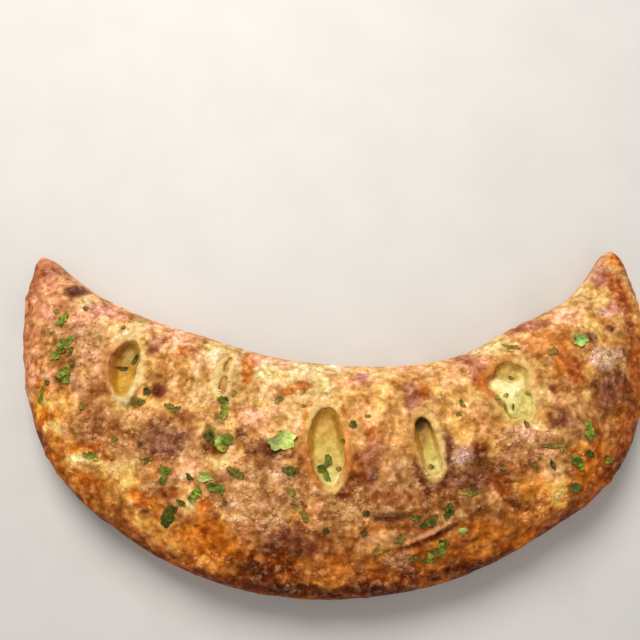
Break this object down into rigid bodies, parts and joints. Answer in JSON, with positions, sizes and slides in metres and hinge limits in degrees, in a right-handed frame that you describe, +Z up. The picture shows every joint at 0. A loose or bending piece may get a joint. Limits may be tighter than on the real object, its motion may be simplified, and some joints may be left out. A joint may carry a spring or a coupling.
{
  "type": "calzone",
  "caption": "Large baked calzone bent into a crescent, with oval steam vents showing melted cheese and chopped parsley on the crust.",
  "frame": {"origin": "on the flat base, under the middle of the crescent's length and depth", "axes": "+X along the crescent from its left horn to its right horn, +Y towards the horns, +Z up"},
  "size_m": [0.3261, 0.1794, 0.0476],
  "materials": {
    "baked_crust": "baked pizza dough, pale gold round the vents, toasted brown patches and rim, oiled sheen, grated cheese crumbs and parsley",
    "melted_cheese": "glossy melted cheese, cream to golden yellow",
    "parsley": "chopped green leaf, wilted by the oven",
    "grated_cheese": "dry grated hard cheese, fine pale crumbs"
  },
  "bodies": {
    "root": {"crust": "baked_crust", "cheese_filling": "melted_cheese"}
  },
  "joints": []
}
